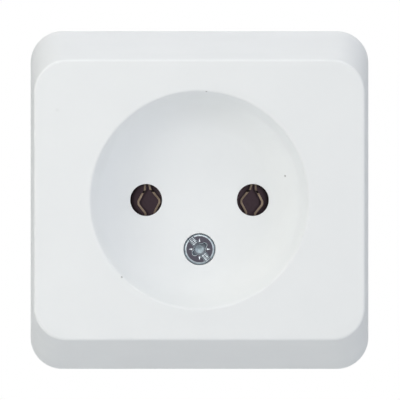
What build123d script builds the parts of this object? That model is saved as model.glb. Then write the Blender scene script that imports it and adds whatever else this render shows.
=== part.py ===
from build123d import *
import math
import os

# Unearthed two-pin wall socket for surface wiring, in millimetres.
# X runs to the right, Z runs up the wall and the front looks along -Y.
# The wall is the plane y = 0, and a height is a distance from it towards the room.

# Cover shell
RIM_SIDE = 62.0  # square outline at the wall
CORNER_R = 5.8
SKIRT_HEIGHT = 2.0  # upright strip at the wall, below the leaning walls
BODY_DEPTH = 34.0  # wall to front face
FACE_WIDTH = 58.2
FACE_HEIGHT = 49.3
FACE_EDGE_R = 0.45
WALL = 2.0
FACE_WALL = 2.2
RIB_WALL = 1.4  # ribs inside the side walls that press on the base plate
RIB_REACH = 2.6  # at the plate
RIB_SPACING = 28.0
KNOCKOUT_WIDTH = 12.0  # cable entries thinned from the inside, at the top and bottom walls
KNOCKOUT_HEIGHT = 12.0
KNOCKOUT_WEB = 0.8

# Plug recess
RECESS_D = 38.2  # mouth, before its edge is rounded
RECESS_DEPTH = 9.0
RECESS_TAPER = 13.0  # degrees
RECESS_FILLET = 5.5
MOUTH_EDGE = 0.5  # slanted off between the recess and the face
FLOOR_WALL = 2.2
PIN_PITCH = 19.0
PIN_HOLE_D = 5.7

# Cover screw and its nut
SCREW_DROP = 8.75  # below the middle
SCREW_HOLE_D = 5.8
SCREW_HEAD_D = 5.6
SCREW_HEAD_HEIGHT = 2.2
SCREW_HEAD_EDGE = 0.3
SCREW_D = 3.0
SCREW_LENGTH = 14.0
SCREW_SEAT_WALL = 2.4  # under the head
SCREW_TURN = 52.0  # degrees, the slot's slant as it was left
SLOT_WIDTH = 1.0
SLOT_DEPTH = 1.2
BOSS_D = 9.0
BOSS_LENGTH = 2.8  # behind the recess floor
COVER_NUT_SIDE = 5.5
COVER_NUT_HEIGHT = 2.4
NUT_TIP = 0.8  # thread past the nut

# Base moulding
PLATE = 2.5
PLATE_GAP = 0.3  # to the cover's walls
CHAMBER_WIDTH = 8.8
CHAMBER_FOOT = 5.4  # below the pins
CHAMBER_HEAD = 4.8  # above the pins
CHAMBER_WALL = 1.8
CHAMBER_SETBACK = 1.8  # chamber walls behind the leaves' front edges
SHELF_HEIGHT = 7.0
SHELF_LENGTH = 10.6
SHELF_WIDTH = 17.6
PILLAR_D = 10.5
STIFFENER_WALL = 1.6
STIFFENER_HEIGHT = 4.0
STIFFENER_END_GAP = 4.0  # to the plate's edge
WALL_SCREW_PITCH = 45.0
WALL_SLOT_LENGTH = 7.0
WALL_SLOT_WIDTH = 4.2
SLOT_PAD_MARGIN = 2.2
SLOT_PAD_RAISE = 0.8
CABLE_SLOT_LENGTH = 16.0
CABLE_SLOT_WIDTH = 9.0
CABLE_SLOT_MARGIN = 2.8  # to the upper edge of the plate

# Contacts, in the right pole's own axes: u outwards, v up along the pole
POLE_LEAN = 5.8  # degrees, the foot leans inwards
POLE_INSET = 0.26  # of the pole's axis at pin level, inside the pin's axis
LEAF = 0.36
LEAF_SETBACK = 1.4  # front edges behind the recess floor
LEAF_SHELF_GAP = 0.2
NECK_TOP_V = 4.2
NECK_FOOT_V = 1.75
NECK_HALF_GAP = 0.53  # half gaps run from the pole's middle plane to the middle of the leaf
JAW_HEAD_V = 1.35
JAW_HEAD_HALF_GAP = 0.93
JAW_HALF_GAP = 1.89
JAW_WIDE_TOP_V = -0.1
JAW_WIDE_FOOT_V = -0.65
GRIP_V = -2.35
GRIP_HALF_GAP = 0.77
LIP_V = -3.3
LIP_HALF_GAP = 1.0
LEAF_BEND_R = 0.5
NOTCH_DEPTH = 7.5  # cut in the front edge between neck and jaws
TAIL_END_V = 11.4
TAIL_SETBACK = 3.4  # tail's front edge behind the jaws' front edge

# Terminals, in the right pole's own axes
SHEET = 1.0
SHEET_BEND_R = 1.4  # outside
BRACKET_FOOT_V = 6.0
BRACKET_LENGTH = 9.2
BRACKET_REACH = 10.4
LUG_SETBACK = 2.8  # lug's front edge behind the leaves' front edges
RIVET_D = 1.9
RIVET_HEAD_D = 3.4
RIVET_HEAD = 0.7
RIVET_V = 8.4
TERMINAL_U = 6.2
TERMINAL_V = 10.4
TERMINAL_SCREW_D = 3.5
TERMINAL_SCREW_LENGTH = 8.0
TERMINAL_HEAD_D = 6.4
TERMINAL_HEAD_HEIGHT = 2.4
TERMINAL_HEAD_EDGE = 0.5
CLAMP_SIDE = 7.2
CLAMP = 1.2
CLAMP_CORNER_R = 0.8
TERMINAL_NUT_SIDE = 6.0
TERMINAL_NUT_HEIGHT = 2.4
TERMINAL_NUT_TIP = 0.8  # thread past the nut

# Clearances
SCREW_GAP = 0.2  # round a screw in a plain hole
THREAD_GAP = 0.05  # round a screw in its nut
RIVET_GAP = 0.05
NUT_POCKET_GAP = 0.15  # each side of a nut
RIB_GAP = 0.1  # between the cover's ribs and the base plate
CUT_PAST = 1.0  # how far a cut runs past what it cuts

# Heights from the wall
FLOOR_H = BODY_DEPTH - RECESS_DEPTH
FLOOR_BACK_H = FLOOR_H - FLOOR_WALL
BOSS_SEAT_H = FLOOR_BACK_H - BOSS_LENGTH
SCREW_SEAT_H = BOSS_SEAT_H + SCREW_SEAT_WALL
SCREW_TIP_H = SCREW_SEAT_H - SCREW_LENGTH
COVER_NUT_SEAT_H = SCREW_TIP_H + NUT_TIP + COVER_NUT_HEIGHT
LEAF_FRONT_H = FLOOR_BACK_H - LEAF_SETBACK
LEAF_BACK_H = SHELF_HEIGHT + LEAF_SHELF_GAP
CHAMBER_H = LEAF_FRONT_H - CHAMBER_SETBACK
LUG_FRONT_H = LEAF_FRONT_H - LUG_SETBACK
RIVET_H = (SHELF_HEIGHT + SHEET + LUG_FRONT_H) / 2
CLAMP_H = SHELF_HEIGHT + SHEET
TERMINAL_SEAT_H = CLAMP_H + CLAMP
TERMINAL_TIP_H = TERMINAL_SEAT_H - TERMINAL_SCREW_LENGTH
TERMINAL_NUT_SEAT_H = TERMINAL_TIP_H + TERMINAL_NUT_TIP + TERMINAL_NUT_HEIGHT

# Other worked-out sizes
TAPER_SIN = math.sin(math.radians(RECESS_TAPER))
TAPER_COS = math.cos(math.radians(RECESS_TAPER))
RECESS_R = RECESS_D / 2
RECESS_FOOT_R = RECESS_R - RECESS_DEPTH * TAPER_SIN / TAPER_COS
CUP_WALL = WALL / TAPER_COS
PLATE_INSET = WALL + PLATE_GAP
PLATE_SIDE = RIM_SIDE - 2 * PLATE_INSET
CABLE_SLOT_RISE = PLATE_SIDE / 2 - CABLE_SLOT_MARGIN - CABLE_SLOT_WIDTH / 2
CHAMBER_INNER_X = PIN_PITCH / 2 - CHAMBER_WIDTH / 2 - CHAMBER_WALL
SCREW_SPOT = (0, -SCREW_DROP)
PIN_SPOTS = [(-PIN_PITCH / 2, 0), (PIN_PITCH / 2, 0)]
TERMINAL_SPOT = (TERMINAL_U, TERMINAL_V)
BRACKET_PLAY = SCREW_GAP - THREAD_GAP  # both brackets sit this far to the right on their screws

# Directions of the right pole's axes
LEAN_SIN = math.sin(math.radians(POLE_LEAN))
LEAN_COS = math.cos(math.radians(POLE_LEAN))
POLE_FOOT = (PIN_PITCH / 2 - POLE_INSET, 0, 0)
POLE_U = (LEAN_COS, 0, -LEAN_SIN)
POLE_V = (LEAN_SIN, 0, LEAN_COS)
POLE_FACE = Plane(origin=POLE_FOOT, x_dir=POLE_U, z_dir=(0, -1, 0))  # u across, v up
POLE_SIDE = Plane(origin=POLE_FOOT, x_dir=POLE_V, z_dir=POLE_U)  # v across, height up
POLE_END = Plane(origin=POLE_FOOT, x_dir=POLE_U, z_dir=(-LEAN_SIN, 0, -LEAN_COS))  # u across, height up


def level(height):
    """Plane parallel to the wall at a height, X across and Z up."""
    return Plane.XZ.offset(height)


def tapered_block(inset, top):
    """Solid block inside the cover's outside, from the wall to a height, its sides drawn in by an inset."""
    share = (top - SKIRT_HEIGHT) / (BODY_DEPTH - SKIRT_HEIGHT)
    foot = RIM_SIDE / 2 - inset
    side = foot + share * (FACE_WIDTH - RIM_SIDE) / 2
    head = foot + share * (FACE_HEIGHT - RIM_SIDE) / 2
    with BuildPart() as block:
        with BuildSketch(Plane.XY):
            with BuildLine():
                Polyline((0, -SKIRT_HEIGHT), (foot, -SKIRT_HEIGHT), (side, -top), (0, -top))
                mirror(about=Plane.YZ)
            make_face()
        extrude(amount=RIM_SIDE, both=True)
        with BuildSketch(Plane.YZ):
            with BuildLine():
                Polyline((-SKIRT_HEIGHT, 0), (-SKIRT_HEIGHT, foot), (-top, head), (-top, 0))
                mirror(about=Plane.XZ)
            make_face()
        extrude(amount=RIM_SIDE, both=True, mode=Mode.INTERSECT)
        corners = edges().filter_by(Axis.X, reverse=True).filter_by(Axis.Z, reverse=True)
        fillet(corners, CORNER_R - inset)
        extrude(faces().sort_by(Axis.Y)[-1], amount=SKIRT_HEIGHT)
    return block.part


def write(piece, name):
    """Label a finished piece and write its file."""
    piece.part.label = name
    export_step(piece.part, f"parts/{name}.step")


def write_both_poles(right, name, play=0):
    """Write a piece of the right pole and its mirror image for the left pole, both moved to the right by a play."""
    with BuildPart() as right_pole:
        with Locations((play, 0, 0)):
            add(right.part)
    write(right_pole, f"right_{name}")
    with BuildPart() as left_pole:
        with Locations((play, 0, 0)):
            add(right.part.mirror(Plane.YZ))
    write(left_pole, f"left_{name}")


os.makedirs("parts", exist_ok=True)

# Ribs inside the cover's side walls
with BuildPart() as ribs:
    with BuildSketch(level(PLATE + RIB_GAP)):
        with GridLocations(RIM_SIDE - 2 * WALL, RIB_SPACING, 2, 2):
            Rectangle(2 * RIB_REACH, RIB_WALL)
    extrude(amount=BODY_DEPTH)
    add(tapered_block(WALL, BODY_DEPTH - FACE_WALL), mode=Mode.INTERSECT)

# Hollows that thin the top and bottom walls at the cable entries
with BuildPart() as knockouts:
    with BuildSketch(Plane.XY):
        with Locations((0, -KNOCKOUT_HEIGHT / 2)):
            Rectangle(KNOCKOUT_WIDTH, KNOCKOUT_HEIGHT)
        fillet(vertices().group_by(Axis.Y)[0], KNOCKOUT_WIDTH / 3)
    extrude(amount=RIM_SIDE, both=True)
    add(tapered_block(KNOCKOUT_WEB, BODY_DEPTH), mode=Mode.INTERSECT)

# Cover: tapered shell with the plug recess let into its face
with BuildPart() as cover:
    add(tapered_block(0, BODY_DEPTH))
    fillet(faces().sort_by(Axis.Y)[0].outer_wire().edges(), FACE_EDGE_R)
    add(tapered_block(WALL, BODY_DEPTH - FACE_WALL), mode=Mode.SUBTRACT)
    add(ribs.part)
    add(knockouts.part, mode=Mode.SUBTRACT)
    with BuildSketch(Plane.XY):
        with BuildLine():
            Polyline(
                (0, -FLOOR_BACK_H),
                (RECESS_FOOT_R + CUP_WALL - RECESS_FILLET / 2, -FLOOR_BACK_H),
                (RECESS_FOOT_R + CUP_WALL, -FLOOR_BACK_H - RECESS_FILLET / 2),
                (RECESS_R + CUP_WALL, -BODY_DEPTH + FACE_WALL / 2),
                (0, -BODY_DEPTH + FACE_WALL / 2),
                close=True,
            )
        make_face()
    revolve(axis=Axis.Y)
    with BuildSketch(level(BOSS_SEAT_H)):
        with Locations(SCREW_SPOT):
            Circle(BOSS_D / 2)
    extrude(amount=BOSS_LENGTH + FLOOR_WALL / 2)
    with BuildSketch(Plane.XY):
        with BuildLine():
            dish = FilletPolyline(
                (0, -FLOOR_H),
                (RECESS_FOOT_R, -FLOOR_H),
                (RECESS_R - MOUTH_EDGE * TAPER_SIN, -BODY_DEPTH + MOUTH_EDGE * TAPER_COS),
                radius=RECESS_FILLET,
            )
            Polyline(
                dish @ 1,
                (RECESS_R + MOUTH_EDGE, -BODY_DEPTH),
                (RECESS_R + MOUTH_EDGE, -BODY_DEPTH - CUT_PAST),
                (0, -BODY_DEPTH - CUT_PAST),
                (0, -FLOOR_H),
            )
        make_face()
    revolve(axis=Axis.Y, mode=Mode.SUBTRACT)
    with BuildSketch(level(FLOOR_H)):
        with Locations(PIN_SPOTS):
            Circle(PIN_HOLE_D / 2)
    extrude(amount=-FLOOR_WALL, mode=Mode.SUBTRACT)
    with BuildSketch(level(FLOOR_H)):
        with Locations(SCREW_SPOT):
            Circle(SCREW_HOLE_D / 2)
    extrude(amount=SCREW_SEAT_H - FLOOR_H, mode=Mode.SUBTRACT)
    with BuildSketch(level(FLOOR_H)):
        with Locations(SCREW_SPOT):
            Circle(SCREW_D / 2 + SCREW_GAP)
    extrude(amount=BOSS_SEAT_H - FLOOR_H, mode=Mode.SUBTRACT)
write(cover, "cover")

# Base: plate with the contact chambers, terminal shelves and cover screw pillar
with BuildPart() as base:
    with BuildSketch(level(0)):
        RectangleRounded(PLATE_SIDE, PLATE_SIDE, CORNER_R - PLATE_INSET)
    extrude(amount=PLATE)
    with BuildSketch(level(0)):
        with Locations((CHAMBER_INNER_X, -CHAMBER_FOOT - CHAMBER_WALL)):
            Rectangle(
                CHAMBER_WIDTH + 2 * CHAMBER_WALL,
                CHAMBER_FOOT + CHAMBER_HEAD + CHAMBER_WALL,
                align=(Align.MIN, Align.MIN),
            )
        with Locations((CHAMBER_INNER_X, CHAMBER_HEAD)):
            Rectangle(CHAMBER_WALL, SHELF_LENGTH, align=(Align.MIN, Align.MIN))
    extrude(amount=CHAMBER_H)
    with BuildSketch(level(0)):
        with Locations((CHAMBER_INNER_X, CHAMBER_HEAD)):
            Rectangle(SHELF_WIDTH, SHELF_LENGTH, align=(Align.MIN, Align.MIN))
    extrude(amount=SHELF_HEIGHT)
    with BuildSketch(level(PLATE)):
        with Locations((CHAMBER_INNER_X + CHAMBER_WALL, -CHAMBER_FOOT)):
            Rectangle(CHAMBER_WIDTH, CHAMBER_FOOT + CHAMBER_HEAD, align=(Align.MIN, Align.MIN))
    extrude(amount=CHAMBER_H, mode=Mode.SUBTRACT)
    with BuildSketch(level(0)):
        with Locations((PIN_PITCH / 2, -PLATE_SIDE / 2 + STIFFENER_END_GAP)):
            Rectangle(
                STIFFENER_WALL,
                PLATE_SIDE / 2 - STIFFENER_END_GAP - CHAMBER_FOOT - CHAMBER_WALL,
                align=(Align.CENTER, Align.MIN),
            )
    extrude(amount=PLATE + STIFFENER_HEIGHT)
    with BuildSketch(level(0)):
        with Locations(SCREW_SPOT):
            Circle(PILLAR_D / 2)
    extrude(amount=BOSS_SEAT_H)
    with BuildSketch(level(0)):
        with Locations((WALL_SCREW_PITCH / 2, 0)):
            SlotOverall(WALL_SLOT_LENGTH + 2 * SLOT_PAD_MARGIN, WALL_SLOT_WIDTH + 2 * SLOT_PAD_MARGIN)
    extrude(amount=PLATE + SLOT_PAD_RAISE)
    with BuildSketch(level(0)):
        with Locations((WALL_SCREW_PITCH / 2, 0)):
            SlotOverall(WALL_SLOT_LENGTH, WALL_SLOT_WIDTH)
        with Locations((0, CABLE_SLOT_RISE)):
            SlotOverall(CABLE_SLOT_LENGTH, CABLE_SLOT_WIDTH)
    extrude(amount=PLATE + SLOT_PAD_RAISE, mode=Mode.SUBTRACT)
    with BuildSketch(level(0)):
        with Locations(SCREW_SPOT):
            Circle(SCREW_D / 2 + SCREW_GAP)
    extrude(amount=BOSS_SEAT_H, mode=Mode.SUBTRACT)
    with BuildSketch(level(0)):
        with Locations(SCREW_SPOT):
            Rectangle(COVER_NUT_SIDE + 2 * NUT_POCKET_GAP, COVER_NUT_SIDE + 2 * NUT_POCKET_GAP)
    extrude(amount=COVER_NUT_SEAT_H, mode=Mode.SUBTRACT)
    with BuildSketch(POLE_FACE):
        with Locations(TERMINAL_SPOT):
            Circle(TERMINAL_SCREW_D / 2 + SCREW_GAP)
    extrude(amount=SHELF_HEIGHT, mode=Mode.SUBTRACT)
    with BuildSketch(POLE_FACE):
        with Locations(TERMINAL_SPOT):
            Rectangle(TERMINAL_NUT_SIDE + 2 * NUT_POCKET_GAP, TERMINAL_NUT_SIDE + 2 * NUT_POCKET_GAP)
    extrude(amount=TERMINAL_NUT_SEAT_H, mode=Mode.SUBTRACT)
    split(bisect_by=Plane.YZ)
    mirror(about=Plane.YZ)
write(base, "base")

# Cover screw: cheese head with a slot and a cross
with BuildPart() as cover_screw:
    with BuildSketch(level(SCREW_SEAT_H)):
        with Locations(SCREW_SPOT):
            Circle(SCREW_HEAD_D / 2)
    extrude(amount=SCREW_HEAD_HEIGHT)
    chamfer(faces().sort_by(Axis.Y)[0].edges(), SCREW_HEAD_EDGE)
    with BuildSketch(level(SCREW_SEAT_H)):
        with Locations(SCREW_SPOT):
            Circle(SCREW_D / 2)
    extrude(amount=-SCREW_LENGTH)
    with BuildSketch(level(SCREW_SEAT_H + SCREW_HEAD_HEIGHT)):
        with Locations(Location(SCREW_SPOT, -SCREW_TURN)):
            Rectangle(SCREW_HEAD_D, SLOT_WIDTH)
            Rectangle(SLOT_WIDTH, SCREW_HEAD_D / 2)
    extrude(amount=-SLOT_DEPTH, mode=Mode.SUBTRACT)
write(cover_screw, "cover_screw")

# Square nut for the cover screw
with BuildPart() as cover_nut:
    with BuildSketch(level(COVER_NUT_SEAT_H)):
        with Locations(SCREW_SPOT):
            Rectangle(COVER_NUT_SIDE, COVER_NUT_SIDE)
            Circle(SCREW_D / 2 + THREAD_GAP, mode=Mode.SUBTRACT)
    extrude(amount=-COVER_NUT_HEIGHT)
write(cover_nut, "cover_nut")

# Terminal bracket: strip bent to an L, its lug on the leaves and its pad on the shelf
with BuildPart() as bracket:
    with BuildSketch(POLE_END.offset(-BRACKET_FOOT_V - BRACKET_LENGTH)):
        with BuildLine():
            FilletPolyline(
                (LEAF, LUG_FRONT_H),
                (LEAF, SHELF_HEIGHT),
                (BRACKET_REACH, SHELF_HEIGHT),
                radius=SHEET_BEND_R,
            )
            offset(amount=SHEET, side=Side.LEFT)
        make_face()
    extrude(amount=BRACKET_LENGTH)
    with BuildSketch(POLE_SIDE):
        with Locations((RIVET_V, RIVET_H)):
            Circle(RIVET_D / 2 + RIVET_GAP)
    extrude(amount=LEAF + SHEET, mode=Mode.SUBTRACT)
    with BuildSketch(POLE_FACE):
        with Locations(TERMINAL_SPOT):
            Circle(TERMINAL_SCREW_D / 2 + SCREW_GAP)
    extrude(amount=SHELF_HEIGHT + SHEET, mode=Mode.SUBTRACT)
write_both_poles(bracket, "terminal_bracket", BRACKET_PLAY)

# Outer contact leaf: flat tail on the lug, neck, then jaws that open and close round the pin
with BuildPart() as outer_leaf:
    with BuildSketch(POLE_FACE.offset(LEAF_BACK_H)):
        with BuildLine():
            FilletPolyline(
                (LEAF / 2, TAIL_END_V),
                (LEAF / 2, NECK_TOP_V),
                (NECK_HALF_GAP, NECK_FOOT_V),
                (JAW_HEAD_HALF_GAP, JAW_HEAD_V),
                (JAW_HALF_GAP, JAW_WIDE_TOP_V),
                (JAW_HALF_GAP, JAW_WIDE_FOOT_V),
                (GRIP_HALF_GAP, GRIP_V),
                (LIP_HALF_GAP, LIP_V),
                radius=LEAF_BEND_R,
            )
        trace(line_width=LEAF)
    extrude(amount=LEAF_FRONT_H - LEAF_BACK_H)
    with BuildSketch(POLE_SIDE):
        with Locations((NECK_TOP_V, LEAF_FRONT_H - TAIL_SETBACK)):
            Rectangle(TAIL_END_V, TAIL_SETBACK + CUT_PAST, align=(Align.MIN, Align.MIN))
        with Locations((JAW_HEAD_V, LEAF_FRONT_H - NOTCH_DEPTH)):
            Rectangle(NECK_FOOT_V - JAW_HEAD_V, NOTCH_DEPTH + CUT_PAST, align=(Align.MIN, Align.MIN))
        with Locations((RIVET_V, RIVET_H)):
            Circle(RIVET_D / 2 + RIVET_GAP)
    extrude(amount=JAW_HALF_GAP + 2 * LEAF, mode=Mode.SUBTRACT)
write_both_poles(outer_leaf, "outer_leaf", BRACKET_PLAY)

# Inner contact leaf: the outer leaf turned over about the pole's middle plane
with BuildPart() as inner_leaf:
    add(outer_leaf.part)
    mirror(about=POLE_SIDE, mode=Mode.REPLACE)
write_both_poles(inner_leaf, "inner_leaf", BRACKET_PLAY)

# Rivet through both leaves and the lug
with BuildPart() as rivet:
    with BuildSketch(POLE_SIDE.offset(-LEAF)):
        with Locations((RIVET_V, RIVET_H)):
            Circle(RIVET_D / 2)
    extrude(amount=2 * LEAF + SHEET)
    with BuildSketch(POLE_SIDE.offset(LEAF + SHEET)):
        with Locations((RIVET_V, RIVET_H)):
            Circle(RIVET_HEAD_D / 2)
    extrude(amount=RIVET_HEAD)
    with BuildSketch(POLE_SIDE.offset(-LEAF)):
        with Locations((RIVET_V, RIVET_H)):
            Circle(RIVET_HEAD_D / 2)
    extrude(amount=-RIVET_HEAD)
write_both_poles(rivet, "rivet", BRACKET_PLAY)

# Clamp plate that presses the wire on the bracket's pad
with BuildPart() as clamp_plate:
    with BuildSketch(POLE_FACE.offset(CLAMP_H)):
        with Locations(TERMINAL_SPOT):
            RectangleRounded(CLAMP_SIDE, CLAMP_SIDE, CLAMP_CORNER_R)
            Circle(TERMINAL_SCREW_D / 2 + SCREW_GAP, mode=Mode.SUBTRACT)
    extrude(amount=CLAMP)
write_both_poles(clamp_plate, "clamp_plate")

# Terminal screw
with BuildPart() as terminal_screw:
    with BuildSketch(POLE_FACE.offset(TERMINAL_SEAT_H)):
        with Locations(TERMINAL_SPOT):
            Circle(TERMINAL_HEAD_D / 2)
    extrude(amount=TERMINAL_HEAD_HEIGHT)
    chamfer(faces().sort_by(Axis.Y)[0].edges(), TERMINAL_HEAD_EDGE)
    with BuildSketch(POLE_FACE.offset(TERMINAL_SEAT_H)):
        with Locations(TERMINAL_SPOT):
            Circle(TERMINAL_SCREW_D / 2)
    extrude(amount=-TERMINAL_SCREW_LENGTH)
    with BuildSketch(POLE_FACE.offset(TERMINAL_SEAT_H + TERMINAL_HEAD_HEIGHT)):
        with Locations(Location(TERMINAL_SPOT, SCREW_TURN)):
            Rectangle(TERMINAL_HEAD_D, SLOT_WIDTH)
    extrude(amount=-SLOT_DEPTH, mode=Mode.SUBTRACT)
write_both_poles(terminal_screw, "terminal_screw")

# Square terminal nut in its pocket on the back of the base
with BuildPart() as terminal_nut:
    with BuildSketch(POLE_FACE.offset(TERMINAL_NUT_SEAT_H)):
        with Locations(TERMINAL_SPOT):
            Rectangle(TERMINAL_NUT_SIDE, TERMINAL_NUT_SIDE)
            Circle(TERMINAL_SCREW_D / 2 + THREAD_GAP, mode=Mode.SUBTRACT)
    extrude(amount=-TERMINAL_NUT_HEIGHT)
write_both_poles(terminal_nut, "terminal_nut")
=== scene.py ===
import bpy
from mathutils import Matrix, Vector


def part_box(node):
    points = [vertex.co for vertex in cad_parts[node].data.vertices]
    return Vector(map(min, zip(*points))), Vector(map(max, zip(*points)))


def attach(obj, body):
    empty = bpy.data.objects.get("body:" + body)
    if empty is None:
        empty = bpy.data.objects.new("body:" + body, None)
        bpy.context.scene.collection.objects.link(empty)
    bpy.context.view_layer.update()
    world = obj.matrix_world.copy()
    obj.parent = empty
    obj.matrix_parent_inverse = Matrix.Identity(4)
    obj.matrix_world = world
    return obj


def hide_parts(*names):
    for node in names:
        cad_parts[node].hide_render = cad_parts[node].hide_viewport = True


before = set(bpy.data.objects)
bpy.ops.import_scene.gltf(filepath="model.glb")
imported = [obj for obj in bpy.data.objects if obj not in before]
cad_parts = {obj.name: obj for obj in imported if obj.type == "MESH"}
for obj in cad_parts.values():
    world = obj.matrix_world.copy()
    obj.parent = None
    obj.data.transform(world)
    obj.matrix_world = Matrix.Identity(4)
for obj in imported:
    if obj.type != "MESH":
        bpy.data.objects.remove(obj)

"""Looks of an unearthed two-pin wall socket for surface wiring.

Lengths in the classes are millimetres, as on a maker's drawing, and become metres where a mesh is made.
X runs to the right, Z up the wall, and the front looks along -Y. A height is a distance from the wall.
"""

import itertools
import logging
import math
import random
from dataclasses import dataclass
from enum import Enum

import bmesh
import bpy
from mathutils import Matrix, Vector

LOG = logging.getLogger("wall_socket")
MM = 0.001
NEAR = 1e-4
SHARP = math.radians(32)
FLAT = math.radians(0.5)
WIDE_RADIUS = 2.0
BODY = "root"
SHINE = "shine"
FULL = (0.0, 1.0)

Colour = tuple[float, float, float]
Place = tuple[float, float, float]
Span = tuple[float, float]
Socket = bpy.types.NodeSocket


class Slot(Enum):
    """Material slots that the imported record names."""

    WHITE_COVER = "white_cover"
    DARK_BASE = "dark_base"
    CONTACT_BRASS = "contact_brass"
    PLATED_STEEL = "plated_steel"
    COVER_SCREW_ZINC = "cover_screw_zinc"


class Shine(Enum):
    """How bright a face of the cover screw is painted, from its dull face to its glints: partly wear at its
    edges, partly painted highlights and painted reflections.
    """

    DULL = 0.0
    SLOT = 0.15
    WORN = 0.4
    RIM = 0.64
    LIP = 0.7
    GLINT = 1.0


class Outline(Enum):
    """How many segments a round outline, corner or edge has."""

    WIDE = 160
    FLOOR = 96
    HOLE = 72
    RIM = 48
    SHANK = 32
    CORNER = 14
    EDGE = 6
    SOFT = 2


class Sheet:
    """One material's node sheet, with short ways to add and join its nodes."""

    def __init__(self, name: str) -> None:
        """Start a material with a Principled shader on its output.

        Args:
            name: The material's name.
        """
        self.material = bpy.data.materials.new(name)
        self.material.use_nodes = True
        self.nodes = self.material.node_tree.nodes
        self.shader = self.nodes["Principled BSDF"]
        self.place = self.nodes.new("ShaderNodeTexCoord").outputs["Object"]

    def join(self, source: Socket, target: Socket) -> None:
        """Link one socket to another."""
        self.material.node_tree.links.new(source, target)

    def stretched(self, scale: Place) -> Socket:
        """Object coordinates with a scale of their own along each axis.

        Args:
            scale: Factors along X, Y and Z.

        Returns:
            The scaled coordinates.
        """
        mapping = self.nodes.new("ShaderNodeMapping")
        mapping.inputs["Scale"].default_value = scale
        self.join(self.place, mapping.inputs["Vector"])
        return mapping.outputs["Vector"]

    def noise(
        self,
        grain_mm: float,
        detail: float = 3.0,
        place: Socket | None = None,
    ) -> Socket:
        """Cloudy noise whose blotches are about a given size.

        Args:
            grain_mm: Size of a blotch in millimetres.
            detail: Levels of finer noise on top.
            place: Coordinates, or None for plain Object coordinates.

        Returns:
            The noise value, about 0.3 to 0.7.
        """
        node = self.nodes.new("ShaderNodeTexNoise")
        node.inputs["Scale"].default_value = 1 / (grain_mm * MM)
        node.inputs["Detail"].default_value = detail
        self.join(place or self.place, node.inputs["Vector"])
        return node.outputs["Fac"]

    def ranged(
        self, value: Socket, source: Span, target: Span
    ) -> Socket:
        """A value carried from one range to another and held inside it.

        Args:
            value: The value to carry over.
            source: Where its range starts and ends.
            target: What those ends become.

        Returns:
            The new value.
        """
        node = self.nodes.new("ShaderNodeMapRange")
        node.inputs["From Min"].default_value = source[0]
        node.inputs["From Max"].default_value = source[1]
        node.inputs["To Min"].default_value = target[0]
        node.inputs["To Max"].default_value = target[1]
        self.join(value, node.inputs["Value"])
        return node.outputs["Result"]

    def blend(
        self,
        share: Socket,
        low: Colour | Socket,
        high: Colour | Socket,
    ) -> Socket:
        """A colour between two others.

        Args:
            share: How much of the second colour shows.
            low: Colour at a share of 0.
            high: Colour at a share of 1.

        Returns:
            The mixed colour.
        """
        node = self.nodes.new("ShaderNodeMix")
        node.data_type = "RGBA"
        self.join(share, node.inputs["Factor"])
        for name, colour in (("A", low), ("B", high)):
            socket = next(s for s in node.inputs if s.name == name and s.type == "RGBA")
            if isinstance(colour, tuple):
                socket.default_value = (*colour, 1.0)
            else:
                self.join(colour, socket)
        return next(s for s in node.outputs if s.type == "RGBA")

    def blend_shaders(
        self, share: Socket, low: Socket, high: Socket
    ) -> Socket:
        """A shader between two others.

        Args:
            share: How much of the second shader shows.
            low: Shader at a share of 0.
            high: Shader at a share of 1.

        Returns:
            The mixed shader.
        """
        node = self.nodes.new("ShaderNodeMixShader")
        for source, target in zip((share, low, high), node.inputs):
            self.join(source, target)
        return node.outputs[0]

    def attribute(self, name: str) -> Socket:
        """A value that the mesh itself carries.

        Args:
            name: The attribute's name.

        Returns:
            Its value.
        """
        node = self.nodes.new("ShaderNodeAttribute")
        node.attribute_name = name
        return node.outputs["Fac"]

    def times(self, first: Socket, second: Socket) -> Socket:
        """The product of two values.

        Args:
            first: One value.
            second: The other.

        Returns:
            Their product.
        """
        node = self.nodes.new("ShaderNodeMath")
        node.operation = "MULTIPLY"
        self.join(first, node.inputs[0])
        self.join(second, node.inputs[1])
        return node.outputs["Value"]

    def along(self, axis: str, source_mm: Span) -> Socket:
        """A share that grows from 0 to 1 along one Object axis.

        Args:
            axis: The axis, X, Y or Z.
            source_mm: Where the share is 0 and where it is 1.

        Returns:
            The share.
        """
        node = self.nodes.new("ShaderNodeSeparateXYZ")
        self.join(self.place, node.inputs["Vector"])
        return self.ranged(node.outputs[axis], (source_mm[0] * MM, source_mm[1] * MM), FULL)

    def near(self, spot: Vector, radius_mm: float, soft_mm: float) -> Socket:
        """A mask that is 1 round a point and fades to 0 away from it.

        Args:
            spot: The point, in metres.
            radius_mm: How far the mask is full.
            soft_mm: How far past that it fades out.

        Returns:
            The mask.
        """
        node = self.nodes.new("ShaderNodeVectorMath")
        node.operation = "DISTANCE"
        node.inputs[1].default_value = spot
        self.join(self.place, node.inputs[0])
        return self.ranged(node.outputs["Value"], (radius_mm * MM, (radius_mm + soft_mm) * MM), (1, 0))

    def bump(self, height: Socket, depth_mm: float, strength: float) -> None:
        """Raise the surface a little by a height value.

        Args:
            height: The height, 0 to 1.
            depth_mm: How tall a height of 1 is.
            strength: Share of it that shows.
        """
        node = self.nodes.new("ShaderNodeBump")
        node.inputs["Distance"].default_value = depth_mm * MM
        node.inputs["Strength"].default_value = strength
        self.join(height, node.inputs["Height"])
        self.join(node.outputs["Normal"], self.shader.inputs["Normal"])


@dataclass(frozen=True)
class Speck:
    """A dark grain on the cover."""

    place: Place
    radius: float
    strength: float
    core: float = 0.5


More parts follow.
